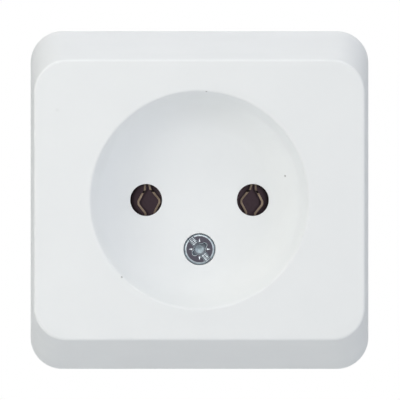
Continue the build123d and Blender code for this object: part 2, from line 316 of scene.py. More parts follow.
@dataclass(frozen=True)
class WhiteMoulding:
    """White moulded plastic: a soft satin sheen, a faint grain and a few dark specks."""

    colour: Colour = (0.905, 0.920, 0.928)
    cloud_colour: Colour = (0.892, 0.908, 0.917)
    speck_colour: Colour = (0.30, 0.29, 0.28)
    roughness: Span = (0.65, 0.75)
    gloss: float = 0.15
    cloud: float = 9.0
    cloud_spread: Span = (0.3, 0.7)
    grain: float = 0.16
    grain_detail: float = 2.0
    grain_depth: float = 0.012
    grain_show: float = 0.2
    specks: tuple[Speck, ...] = (
        Speck((1.21, -33.8, 18.97), 0.16, 0.75),
        Speck((15.2, -26.0, 4.27), 0.16, 0.8),
        Speck((-13.64, -33.9, -13.53), 0.16, 0.7),
        Speck((-25.0, -34.0, 15.8), 0.3, 0.06),
    )

    def material(self) -> bpy.types.Material:
        """Make the plastic's material.

        Returns:
            The material.
        """
        sheet = Sheet("white_moulding")
        clouds = sheet.ranged(sheet.noise(self.cloud), self.cloud_spread, FULL)
        colour = sheet.blend(clouds, self.colour, self.cloud_colour)
        for speck in self.specks:
            spot = Vector(speck.place) * MM
            mask = sheet.near(spot, speck.radius * speck.core, speck.radius)
            faint = sheet.ranged(mask, FULL, (0, speck.strength))
            colour = sheet.blend(faint, colour, self.speck_colour)
        sheet.join(colour, sheet.shader.inputs["Base Color"])
        sheet.join(sheet.ranged(clouds, FULL, self.roughness), sheet.shader.inputs["Roughness"])
        sheet.shader.inputs["Specular IOR Level"].default_value = self.gloss
        sheet.bump(sheet.noise(self.grain, self.grain_detail), self.grain_depth, self.grain_show)
        return sheet.material


@dataclass(frozen=True)
class DarkMoulding:
    """Dark brown pressed moulding, mottled by its filler."""

    colour: Colour = (0.050, 0.031, 0.036)
    mottle_colour: Colour = (0.066, 0.043, 0.049)
    sheen_tint: Colour = (1.0, 0.70, 0.83)
    gloss: float = 0.6
    roughness: Span = (0.06, 0.13)
    mottle: float = 1.3
    mottle_detail: float = 6.0
    mottle_spread: Span = (0.38, 0.66)
    grain: float = 0.25
    grain_depth: float = 0.01
    grain_show: float = 0.1

    def material(self) -> bpy.types.Material:
        """Make the moulding's material.

        Returns:
            The material.
        """
        sheet = Sheet("dark_moulding")
        mottle = sheet.ranged(sheet.noise(self.mottle, self.mottle_detail), self.mottle_spread, FULL)
        sheet.join(sheet.blend(mottle, self.colour, self.mottle_colour), sheet.shader.inputs["Base Color"])
        sheet.join(sheet.ranged(mottle, FULL, self.roughness), sheet.shader.inputs["Roughness"])
        sheet.shader.inputs["Specular IOR Level"].default_value = self.gloss
        sheet.shader.inputs["Specular Tint"].default_value = (*self.sheen_tint, 1.0)
        sheet.bump(sheet.noise(self.grain), self.grain_depth, self.grain_show)
        return sheet.material


@dataclass(frozen=True)
class RolledBrass:
    """Dulled brass strip with fine rolling lines, in its own colour at the front edge, and smooth and painted
    near black deeper in, as painted shade inside the holes.
    """

    colour: Colour = (0.30, 0.235, 0.175)
    tarnish: Colour = (0.19, 0.145, 0.11)
    # Painted shade: the near-black colour that the brass takes deep inside the holes.
    deep_shade_colour: Colour = (0.05, 0.04, 0.036)
    deep: Span = (-21.3, -20.9)
    low: Span = (1.5, -3.0)
    low_share: float = 0.7
    deep_roughness: float = 0.1
    roughness: Span = (0.34, 0.52)
    blotch: float = 1.6
    blotch_detail: float = 4.0
    blotch_spread: Span = (0.35, 0.65)
    line: float = 0.12
    line_stretch: float = 0.06
    line_detail: float = 2.0
    line_depth: float = 0.01
    line_show: float = 0.3

    def material(self) -> bpy.types.Material:
        """Make the brass's material.

        Returns:
            The material.
        """
        sheet = Sheet("rolled_brass")
        blotches = sheet.ranged(sheet.noise(self.blotch, self.blotch_detail), self.blotch_spread, FULL)
        colour = sheet.blend(blotches, self.colour, self.tarnish)
        # Darker towards the bottom: lower down, up to low_share of the tarnish colour blends in.
        lower = sheet.ranged(sheet.along("Z", self.low), FULL, (0, self.low_share))
        colour = sheet.blend(lower, colour, self.tarnish)
        # Painted shade: all brass lower than the leaves' front edge goes near black, where little light
        # reaches.
        deep = sheet.along("Y", self.deep)
        sheet.join(sheet.blend(deep, colour, self.deep_shade_colour), sheet.shader.inputs["Base Color"])
        sheet.shader.inputs["Metallic"].default_value = 1.0
        dull = sheet.ranged(blotches, FULL, self.roughness)
        rubbed = sheet.ranged(deep, FULL, (1, self.deep_roughness))
        sheet.join(sheet.times(dull, rubbed), sheet.shader.inputs["Roughness"])
        lines = sheet.noise(self.line, self.line_detail, sheet.stretched((1, 1, self.line_stretch)))
        shallow = sheet.ranged(deep, FULL, (1, 0))
        sheet.bump(sheet.times(lines, shallow), self.line_depth, self.line_show)
        return sheet.material


@dataclass(frozen=True)
class ZincPlate:
    """Zinc plated steel with a cloudy, slightly blue coat."""

    name: str
    colour: Colour = (0.46, 0.48, 0.51)
    cloud_colour: Colour = (0.30, 0.31, 0.34)
    roughness: Span = (0.26, 0.44)
    cloud: float = 1.1
    cloud_detail: float = 5.0
    cloud_spread: Span = (0.35, 0.65)
    grain: float = 0.2
    grain_depth: float = 0.01
    grain_show: float = 0.2

    def material(self) -> bpy.types.Material:
        """Make the coat's material.

        Returns:
            The material.
        """
        sheet = Sheet(self.name)
        clouds = sheet.ranged(sheet.noise(self.cloud, self.cloud_detail), self.cloud_spread, FULL)
        sheet.join(sheet.blend(clouds, self.colour, self.cloud_colour), sheet.shader.inputs["Base Color"])
        sheet.shader.inputs["Metallic"].default_value = 1.0
        sheet.join(sheet.ranged(clouds, FULL, self.roughness), sheet.shader.inputs["Roughness"])
        sheet.bump(sheet.noise(self.grain), self.grain_depth, self.grain_show)
        return sheet.material


@dataclass(frozen=True)
class WornZincPaintedShine:
    """Dark zinc plating on the cover screw, lighter at its edges and with bright glints, painted face by
    face: partly wear, partly painted highlights and painted reflections, and its dark face partly a painted
    dark reflection.
    """

    # Painted light as colour, partly wear: the dark face, which is also a painted dark reflection, the
    # half-lit middle colour and the bright painted glints.
    dull: Colour = (0.090, 0.086, 0.107)
    worn: Colour = (0.29, 0.355, 0.39)
    bright: Colour = (0.82, 0.90, 0.95)
    roughness: Span = (0.30, 0.42)
    cloud: float = 0.5
    cloud_detail: float = 5.0
    cloud_spread: Span = (0.35, 0.65)
    cloud_share: float = 0.35
    grain: float = 0.15
    grain_depth: float = 0.01
    grain_show: float = 0.2

    def material(self) -> bpy.types.Material:
        """Make the plating's material.

        Returns:
            The material.
        """
        sheet = Sheet("worn_zinc")
        # Painted highlights and reflections, partly wear: each face's colour follows its shine, from the dark
        # face through the half-lit middle colour to the bright glints.
        shine = sheet.attribute(SHINE)
        low = sheet.ranged(shine, (Shine.DULL.value, Shine.WORN.value), FULL)
        high = sheet.ranged(shine, (Shine.WORN.value, Shine.GLINT.value), FULL)
        colour = sheet.blend(high, sheet.blend(low, self.dull, self.worn), self.bright)
        clouds = sheet.ranged(sheet.noise(self.cloud, self.cloud_detail), self.cloud_spread, FULL)
        faint = sheet.ranged(clouds, FULL, (0, self.cloud_share))
        sheet.join(sheet.blend(faint, colour, self.dull), sheet.shader.inputs["Base Color"])
        sheet.shader.inputs["Metallic"].default_value = 1.0
        sheet.join(sheet.ranged(clouds, FULL, self.roughness), sheet.shader.inputs["Roughness"])
        sheet.bump(sheet.noise(self.grain), self.grain_depth, self.grain_show)
        return sheet.material


class Tint(Enum):
    """Colours of the lamps."""

    WARM = (1.0, 0.98, 0.925)
    COOL = (0.91, 0.925, 1.0)


@dataclass(frozen=True)
class Lamp:
    """A soft panel lamp that looks at the socket."""

    name: str
    place: Place
    size: Span
    power: float
    tint: Tint

    def build(self) -> bpy.types.Object:
        """Make the lamp and turn it to the socket.

        Returns:
            The lamp.
        """
        light = bpy.data.lights.new(self.name, "AREA")
        light.shape = "RECTANGLE"
        light.size, light.size_y = self.size
        light.energy = self.power
        light.color = self.tint.value
        lamp = bpy.data.objects.new(self.name, light)
        bpy.context.scene.collection.objects.link(lamp)
        lamp.location = self.place
        lamp.rotation_euler = (-Vector(self.place)).to_track_quat("-Z", "Y").to_euler()
        return lamp


@dataclass(frozen=True)
class Studio:
    """White surroundings, soft lamps, a pale floor and the camera, in metres."""

    camera_place: Place = (0.00009, -0.734, 0.0)
    near_clip: float = 0.01
    lens: float = 358.8
    sensor: float = 36.0
    ambient: Colour = (0.124, 0.137, 0.146)
    white: Colour = (1.0, 1.0, 1.0)
    floor_drop: float = 0.13
    floor_radius: float = 1.2
    floor_fade: float = 0.5
    floor_colour: Colour = (0.81, 0.82, 0.825)
    floor_glow: float = 0.5
    floor_cloud: float = 40.0
    floor_shade: float = 0.98
    floor_roughness: float = 0.7
    lamps: tuple[Lamp, ...] = (
        Lamp("near_lamp", (-0.2, -0.26, 0.2), (0.2, 0.2), 0.117, Tint.WARM),
        Lamp("low_lamp", (-0.22, -0.26, 0.04), (0.16, 0.3), 0.114, Tint.WARM),
        Lamp("side_lamp", (-0.6, -0.4, 0.1), (0.3, 0.4), 0.54, Tint.WARM),
        Lamp("left_panel", (-0.7, -1.2, 0.2), (0.6, 0.6), 1.45, Tint.WARM),
        Lamp("right_panel", (0.9, -0.9, 0.2), (1.0, 1.2), 5.25, Tint.COOL),
        Lamp("front_panel", (0.0, -0.9, 0.5), (0.5, 0.4), 0.97, Tint.WARM),
        Lamp("top_panel", (0.0, -0.25, 0.9), (1.4, 0.8), 3.45, Tint.WARM),
        Lamp("over_panel", (0.0, 0.1, 0.9), (1.0, 0.6), 2.06, Tint.COOL),
        Lamp("rear_panel", (0.0, 1.0, 0.25), (0.3, 0.3), 1.2, Tint.COOL),
    )

    def build(self) -> None:
        """Put up the lamps, the surroundings, the floor and the camera."""
        for lamp in self.lamps:
            lamp.build()
        self.build_surroundings()
        self.build_floor()
        self.build_camera()
        bpy.context.scene.view_settings.view_transform = "Standard"

    def seen_rays(self, nodes: bpy.types.Nodes, links: bpy.types.NodeLinks) -> Socket:
        """A value that is 1 on rays that show a thing: from the camera, a mirror or a clear piece.

        Args:
            nodes: Nodes to add to.
            links: Links to add to.

        Returns:
            The value, over 0 on such rays.
        """
        path = nodes.new("ShaderNodeLightPath")
        total = path.outputs["Is Camera Ray"]
        for name in ("Is Glossy Ray", "Is Transmission Ray"):
            node = nodes.new("ShaderNodeMath")
            node.operation = "MAXIMUM"
            links.new(total, node.inputs[0])
            links.new(path.outputs[name], node.inputs[1])
            total = node.outputs["Value"]
        return total

    def build_surroundings(self) -> None:
        """Make a world that looks white and lights the socket evenly from all sides."""
        world = bpy.data.worlds.new("white_surroundings")
        bpy.context.scene.world = world
        world.use_nodes = True
        nodes, links = world.node_tree.nodes, world.node_tree.links
        mix = nodes.new("ShaderNodeMix")
        mix.data_type = "RGBA"
        low, high = (s for s in mix.inputs if s.type == "RGBA")
        low.default_value = (*self.ambient, 1.0)
        high.default_value = (*self.white, 1.0)
        links.new(self.seen_rays(nodes, links), mix.inputs["Factor"])
        shown = next(s for s in mix.outputs if s.type == "RGBA")
        links.new(shown, nodes["Background"].inputs["Color"])

    def build_floor(self) -> None:
        """Make a round pale floor below the socket that fades into the surroundings."""
        made = bmesh.new()
        bmesh.ops.create_circle(made, cap_ends=True, radius=self.floor_radius, segments=Outline.FLOOR.value)
        bmesh.ops.translate(made, verts=made.verts, vec=(0, 0, -self.floor_drop))
        floor = mesh_object(made, "floor")
        sheet = Sheet("pale_floor")
        clouds = sheet.noise(self.floor_cloud)
        low = tuple(self.floor_shade * part for part in self.floor_colour)
        sheet.join(sheet.blend(clouds, self.floor_colour, low), sheet.shader.inputs["Base Color"])
        sheet.shader.inputs["Roughness"].default_value = self.floor_roughness
        glow = sheet.nodes.new("ShaderNodeEmission")
        seen = self.seen_rays(sheet.nodes, sheet.material.node_tree.links)
        pale = sheet.blend_shaders(
            sheet.ranged(seen, FULL, (0, self.floor_glow)), sheet.shader.outputs[0], glow.outputs[0]
        )
        clear = sheet.nodes.new("ShaderNodeBsdfTransparent")
        gone = (self.floor_fade / MM, (self.floor_radius - self.floor_fade) / MM)
        solid = sheet.near(Vector((0, 0, -self.floor_drop)), *gone)
        whole = sheet.blend_shaders(solid, clear.outputs[0], pale)
        sheet.join(whole, sheet.nodes["Material Output"].inputs["Surface"])
        floor.data.materials.append(sheet.material)

    def build_camera(self) -> None:
        """Put the camera straight in front of the socket."""
        data = bpy.data.cameras.new("camera")
        data.lens = self.lens
        data.sensor_width = self.sensor
        data.clip_start = self.near_clip
        camera = bpy.data.objects.new("camera", data)
        bpy.context.scene.collection.objects.link(camera)
        camera.location = self.camera_place
        camera.rotation_euler = (math.pi / 2, 0, 0)
        bpy.context.scene.camera = camera


def mesh_object(made: bmesh.types.BMesh, name: str) -> bpy.types.Object:
    """Turn a finished bmesh into an object in the scene.

    Args:
        made: The bmesh, which is freed.
        name: Name of the object and its mesh.

    Returns:
        The object, at the origin.
    """
    mesh = bpy.data.meshes.new(name)
    made.to_mesh(mesh)
    made.free()
    piece = bpy.data.objects.new(name, mesh)
    bpy.context.scene.collection.objects.link(piece)
    return piece


def joined(parts: list[bmesh.types.BMesh]) -> bmesh.types.BMesh:
    """Put several bmeshes into one.

    Args:
        parts: The bmeshes, which are freed.

    Returns:
        One bmesh with all of them.
    """
    whole = bmesh.new()
    carrier = bpy.data.meshes.new("carrier")
    for part in parts:
        part.to_mesh(carrier)
        part.free()
        whole.from_mesh(carrier)
    bpy.data.meshes.remove(carrier)
    return whole


def stand(made: bmesh.types.BMesh) -> None:
    """Stand a piece that was built flat, in millimetres with its height along Z, on the wall in metres."""
    upright = Matrix.Rotation(math.pi / 2, 4, "X") @ Matrix.Scale(MM, 4)
    bmesh.ops.transform(made, matrix=upright, verts=made.verts)


def finish_piece(
    made: bmesh.types.BMesh, name: str, material: bpy.types.Material, slot: Slot, *nodes: str
) -> bpy.types.Object:
    """Close a piece's seams, shade it and hand it to the frame.

    Args:
        made: The piece in its place, in metres.
        name: The piece's name.
        material: Its finish.
        slot: The record's slot for that finish; not used.
        nodes: CAD nodes that it stands for.

    Returns:
        The piece.
    """
    bmesh.ops.remove_doubles(made, verts=made.verts, dist=NEAR * MM)
    bmesh.ops.recalc_face_normals(made, faces=made.faces)
    if made.calc_volume(signed=True) < 0:
        bmesh.ops.reverse_faces(made, faces=made.faces)
    for face in made.faces:
        face.smooth = True
    for edge in made.edges:
        edge.smooth = len(edge.link_faces) == 2 and edge.calc_face_angle() < SHARP
    piece = mesh_object(made, name)
    piece.data.materials.append(material)
    normals = piece.modifiers.new("flat_faces", "WEIGHTED_NORMAL")
    normals.keep_sharp = True
    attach(piece, BODY)
    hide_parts(*nodes)
    LOG.info("%s has %d faces and stands for %s", name, len(piece.data.polygons), ", ".join(nodes))
    return piece


def rounded(corners: list[Place]) -> list[Vector]:
    """Profile through a list of corners, each with its own radius.

    Args:
        corners: Distance from the axis, height and radius of each corner.

    Returns:
        Points of the profile, with arcs where a radius isn't 0.
    """
    points = []
    for index, (across, height, radius) in enumerate(corners):
        corner = Vector((across, height))
        if radius == 0:
            points.append(corner)
            continue
        back = (Vector(corners[index - 1][:2]) - corner).normalized()
        ahead = (Vector(corners[index + 1][:2]) - corner).normalized()
        half = back.angle(ahead) / 2
        centre = corner + (back + ahead).normalized() * radius / math.sin(half)
        start = corner + back * radius / math.tan(half) - centre
        end = corner + ahead * radius / math.tan(half) - centre
        steps = Outline.CORNER.value if radius > WIDE_RADIUS else Outline.EDGE.value
        for step in range(steps + 1):
            points.append(centre + start.slerp(end, step / steps).normalized() * radius)
    return points


def turned(
    made: bmesh.types.BMesh,
    corners: list[Place],
    segments: int,
    axis: Span = (0, 0),
) -> None:
    """Add a profile turned about an upright axis.

    Args:
        made: The bmesh to add to.
        corners: The profile's corners, as rounded() takes them.
        segments: How many steps a turn has.
        axis: Where the axis stands.
    """
    spots = [made.verts.new((axis[0] + p.x, axis[1], p.y)) for p in rounded(corners)]
    edges = [made.edges.new(pair) for pair in zip(spots, spots[1:])]
    bmesh.ops.spin(
        made,
        geom=spots + edges,
        cent=(*axis, 0),
        axis=(0, 0, 1),
        angle=math.tau,
        steps=segments,
        use_merge=True,
    )


def rounded_slab(made: bmesh.types.BMesh, half: float, radius: float) -> bmesh.types.BMFace:
    """Start a shell with a flat square with rounded corners at height 0.

    Args:
        made: An empty bmesh.
        half: Half of its side.
        radius: Radius of its corners.

    Returns:
        The square's face.
    """
    square = bmesh.ops.create_grid(made, x_segments=1, y_segments=1, size=half)["verts"]
    bmesh.ops.bevel(
        made,
        geom=square,
        offset=radius,
        segments=Outline.CORNER.value,
        profile=0.5,
        affect="VERTICES",
        material=-1,
    )
    made.faces.ensure_lookup_table()
    return made.faces[0]


def raise_face(
    made: bmesh.types.BMesh, face: bmesh.types.BMFace, rise: float, draw_in: Span = (0, 0)
) -> bmesh.types.BMFace:
    """Extrude a face upwards and draw its four quarters towards the middle.

    Args:
        made: The bmesh that holds the face.
        face: The face.
        rise: How far it goes up.
        draw_in: How far each quarter moves in along X and Y.

    Returns:
        The raised face.
    """
    grown = bmesh.ops.extrude_face_region(made, geom=[face])["geom"]
    if face.is_valid:
        bmesh.ops.delete(made, geom=[face], context="FACES_KEEP_BOUNDARY")
    top = next(part for part in grown if isinstance(part, bmesh.types.BMFace))
    bmesh.ops.translate(made, verts=top.verts, vec=(0, 0, rise))
    for side, end in itertools.product((-1, 1), (-1, 1)):
        quarter = [v for v in top.verts if v.co.x * side > 0 and v.co.y * end > 0]
        bmesh.ops.translate(made, verts=quarter, vec=(-side * draw_in[0], -end * draw_in[1], 0))
    return top


def open_edges(made: bmesh.types.BMesh, height: float) -> list[bmesh.types.BMEdge]:
    """Open edges of a shell that lie at a height.

    Args:
        made: The bmesh to look in.
        height: The height.

    Returns:
        The edges.
    """
    level = [e for e in made.edges if len(e.link_faces) < 2]
    return [e for e in level if all(abs(v.co.z - height) < NEAR for v in e.verts)]


def close_level(made: bmesh.types.BMesh, height: float) -> None:
    """Fill the flat between the open loops at a height.

    Args:
        made: The bmesh to fill.
        height: The loops' height.
    """
    bmesh.ops.triangle_fill(made, edges=open_edges(made, height), use_beauty=True, normal=(0, 0, 1))


@dataclass(frozen=True)
class CoverShell:
    """The white shell: leaning walls, the dished plug recess, pin holes and the screw's boss."""

    rim_side: float
    depth: float
    skirt: float = 2.0
    face_width: float = 58.2
    face_height: float = 49.3
    corner_radius: float = 5.8
    edge_radius: float = 0.45
    wall: float = 2.0
    face_wall: float = 2.2
    rib_wall: float = 1.4
    rib_reach: float = 2.6
    rib_spacing: float = 28.0
    rib_foot: float = 2.6
    knockout_width: float = 12.0
    knockout_height: float = 12.0
    knockout_web: float = 0.8
    recess_radius: float = 19.1
    recess_depth: float = 9.0
    recess_taper: float = math.radians(13.0)
    recess_fillet: float = 5.5
    mouth_radius: float = 0.5
    floor_wall: float = 2.2
    pin_pitch: float = 19.0
    pin_hole_radius: float = 2.85
    hole_edge: float = 0.08
    screw_drop: float = 8.75
    screw_hole_radius: float = 2.84
    screw_seat_wall: float = 2.4
    screw_clearance_radius: float = 1.7
    boss_radius: float = 4.5
    boss_length: float = 2.8

    @classmethod
    def from_frame(cls) -> "CoverShell":
        """Take the shell's outer sizes from the frame."""
        low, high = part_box("cover")
        return cls(rim_side=(high.x - low.x) / MM, depth=(high.y - low.y) / MM)

    @property
    def floor(self) -> float:
        """Height of the recess floor."""
        return self.depth - self.recess_depth

    @property
    def floor_back(self) -> float:
        """Height of the back of the recess floor."""
        return self.floor - self.floor_wall

    @property
    def ceiling(self) -> float:
        """Height of the back of the front face."""
        return self.depth - self.face_wall

    @property
    def recess_lean(self) -> float:
        """How far the recess wall moves out for each millimetre of height."""
        return math.tan(self.recess_taper)

    @property
    def recess_foot(self) -> float:
        """Radius at which the recess wall meets the floor, before its fillet."""
        return self.recess_radius - self.recess_depth * self.recess_lean

    def walls(self, made: bmesh.types.BMesh, inset: float, top: float) -> bmesh.types.BMFace:
        """Add the skirt and the leaning walls, drawn in by an inset.

        Args:
            made: The bmesh to add to.
            inset: Distance inside the shell's outside.
            top: Height of the walls' upper edge.

        Returns:
            The face that closes the walls at the top.
        """
        share = (top - self.skirt) / (self.depth - self.skirt)
        lean = (share * (self.rim_side - self.face_width) / 2, share * (self.rim_side - self.face_height) / 2)
        face = rounded_slab(made, self.rim_side / 2 - inset, self.corner_radius - inset)
        face = raise_face(made, face, self.skirt)
        return raise_face(made, face, top - self.skirt, lean)

    def press(self, made: bmesh.types.BMesh, low: Vector, high: Vector) -> list[bmesh.types.BMVert]:
        """Cut the patch inside a box out of the inner walls and extrude it.

        Args:
            made: The inner walls.
            low: The box's lower corner.
            high: The box's upper corner.

        Returns:
            The extruded patch's corners, still in place.
        """
        for spot, axis in itertools.product((low, high), Matrix.Identity(3)):
            everything = made.verts[:] + made.edges[:] + made.faces[:]
            bmesh.ops.bisect_plane(made, geom=everything, dist=NEAR, plane_co=spot, plane_no=axis)
        middles = {face: face.calc_center_median() for face in made.faces}
        patch = [f for f, spot in middles.items() if all(a < b < c for a, b, c in zip(low, spot, high))]
        grown = bmesh.ops.extrude_face_region(made, geom=patch)["geom"]
        bmesh.ops.delete(made, geom=[f for f in patch if f.is_valid], context="FACES")
        return [part for part in grown if isinstance(part, bmesh.types.BMVert)]

    def add_ribs(self, made: bmesh.types.BMesh) -> None:
        """Raise the four ribs that end just above the base plate from the inner walls.

        Args:
            made: The inner walls.
        """
        reach = self.rim_side / 2 - self.wall - self.rib_reach
        for side, end in itertools.product((-1, 1), (-1, 1)):
            across = sorted((side * reach / 2, side * self.rim_side))
            middle = end * self.rib_spacing / 2
            low = Vector((across[0], middle - self.rib_wall / 2, self.rib_foot))
            high = Vector((across[1], middle + self.rib_wall / 2, self.depth))
            for spot in self.press(made, low, high):
                spot.co.x = side * min(reach, abs(spot.co.x))

    def add_knockouts(self, made: bmesh.types.BMesh) -> None:
        """Thin the upper and lower inner walls where a cable can break in.

        Args:
            made: The inner walls.
        """
        half = self.knockout_width / 2
        for end in (-1, 1):
            along = sorted((end * self.face_height / 4, end * self.rim_side))
            low = Vector((-half, along[0], -self.skirt))
            high = Vector((half, along[1], self.knockout_height))
            spots = self.press(made, low, high)
            bmesh.ops.translate(made, verts=spots, vec=(0, end * (self.wall - self.knockout_web), 0))

    def inner_walls(self) -> bmesh.types.BMesh:
        """Make the hollow's walls with their ribs and thin places, open at both ends.

        Returns:
            The walls.
        """
        made = bmesh.new()
        lid = self.walls(made, self.wall, self.ceiling)
        bmesh.ops.delete(made, geom=[lid], context="FACES_ONLY")
        self.add_ribs(made)
        self.add_knockouts(made)
        for height in (0, self.ceiling):
            caps = [f for f in made.faces if all(abs(v.co.z - height) < NEAR for v in f.verts)]
            bmesh.ops.delete(made, geom=caps, context="FACES")
        bmesh.ops.dissolve_limit(
            made, angle_limit=FLAT, verts=made.verts, edges=made.edges, delimit={"NORMAL"}
        )
        return made

    def outer_walls(self) -> bmesh.types.BMesh:
        """Make the outside walls and the rounded edge of the face, open at both ends.

        Returns:
            The walls.
        """
        made = bmesh.new()
        face = self.walls(made, 0, self.depth)
        rim = list(face.edges)
        bmesh.ops.bevel(
            made,
            geom=rim,
            offset=self.edge_radius,
            segments=Outline.EDGE.value,
            profile=0.5,
            affect="EDGES",
            material=-1,
        )
        face = max(made.faces, key=lambda f: f.calc_center_median().z)
        bmesh.ops.delete(made, geom=[face], context="FACES_ONLY")
        return made

    def add_dish(self, made: bmesh.types.BMesh) -> None:
        """Add the side of the recess that a plug meets, from its mouth to its floor.

        Args:
            made: The bmesh to add to.
        """
        flat = self.mouth_radius * 2
        bend = self.recess_fillet * math.tan((math.pi / 2 - self.recess_taper) / 2)
        turned(
            made,
            [
                (self.recess_radius + flat, self.depth, 0),
                (self.recess_radius, self.depth, self.mouth_radius),
                (self.recess_foot, self.floor, self.recess_fillet),
                (self.recess_foot - bend - self.hole_edge, self.floor, 0),
            ],
            Outline.WIDE.value,
        )

    def add_cup(self, made: bmesh.types.BMesh) -> None:
        """Add the back of the recess wall, inside the shell.

        Args:
            made: The bmesh to add to.
        """
        thick = self.wall / math.cos(self.recess_taper)
        foot = self.recess_foot + thick
        slant = self.recess_fillet / 2
        turned(
            made,
            [
                (foot - slant, self.floor_back, 0),
                (foot, self.floor_back + slant, 0),
                (self.recess_radius + thick - self.face_wall * self.recess_lean, self.ceiling, 0),
            ],
            Outline.WIDE.value,
        )

    def add_pin_holes(self, made: bmesh.types.BMesh) -> None:
        """Add the two pin holes through the recess floor.

        Args:
            made: The bmesh to add to.
        """
        for side in (-1, 1):
            turned(
                made,
                [
                    (self.pin_hole_radius + self.hole_edge * 2, self.floor, 0),
                    (self.pin_hole_radius, self.floor, self.hole_edge),
                    (self.pin_hole_radius, self.floor_back, 0),
                ],
                Outline.HOLE.value,
                (side * self.pin_pitch / 2, 0),
            )

    def add_boss(self, made: bmesh.types.BMesh) -> None:
        """Add the counterbored screw hole and the boss round it behind the floor.

        Args:
            made: The bmesh to add to.
        """
        boss_seat = self.floor_back - self.boss_length
        screw_seat = boss_seat + self.screw_seat_wall
        turned(
            made,
            [
                (self.screw_hole_radius + self.hole_edge * 2, self.floor, 0),
                (self.screw_hole_radius, self.floor, self.hole_edge),
                (self.screw_hole_radius, screw_seat, 0),
                (self.screw_clearance_radius, screw_seat, 0),
                (self.screw_clearance_radius, boss_seat, 0),
                (self.boss_radius, boss_seat, self.hole_edge),
                (self.boss_radius, self.floor_back, 0),
            ],
            Outline.HOLE.value,
            (0, -self.screw_drop),
        )

    def recess(self) -> bmesh.types.BMesh:
        """Make the plug recess inside and outside, with its holes, open at each level.

        Returns:
            The recess.
        """
        made = bmesh.new()
        self.add_dish(made)
        self.add_cup(made)
        self.add_pin_holes(made)
        self.add_boss(made)
        return made

    def build(self, material: bpy.types.Material) -> bpy.types.Object:
        """Make the shell and put it in the CAD cover's place.

        Args:
            material: The shell's finish.

        Returns:
            The shell.
        """
        made = joined([self.outer_walls(), self.inner_walls(), self.recess()])
        for height in (0, self.floor_back, self.floor, self.ceiling, self.depth):
            close_level(made, height)
        stand(made)
        piece = finish_piece(made, "cover_shell", material, Slot.WHITE_COVER, "cover")
        for edge in piece.data.edges:
            ends = [piece.data.vertices[index].co for index in edge.vertices]
            if all(abs(end.y + self.skirt * MM) < NEAR * MM for end in ends):
                edge.use_edge_sharp = True
        return piece


def skin(made: bmesh.types.BMesh, rows: list[list[Vector]]) -> None:
    """Add a wall through closed loops of points, one loop after another.

    Args:
        made: The bmesh to add to.
        rows: Loops with the same number of points.
    """
    loops = [[made.verts.new(point) for point in row] for row in rows]
    for low, high in zip(loops, loops[1:]):
        for index in range(len(low)):
            after = (index + 1) % len(low)
            made.faces.new((low[index], low[after], high[after], high[index]))


def arc(radius: float, start: float, end: float, steps: int, middle: Span = (0, 0)) -> list[Vector]:
    """Points along a flat arc.

    Args:
        radius: The arc's radius.
        start: Angle of its first point.
        end: Angle of its last point.
        steps: How many steps it has.
        middle: The arc's middle.

    Returns:
        The points, one more than the steps.
    """
    angles = [start + (end - start) * step / steps for step in range(steps + 1)]
    return [Vector((middle[0] + radius * math.cos(a), middle[1] + radius * math.sin(a))) for a in angles]


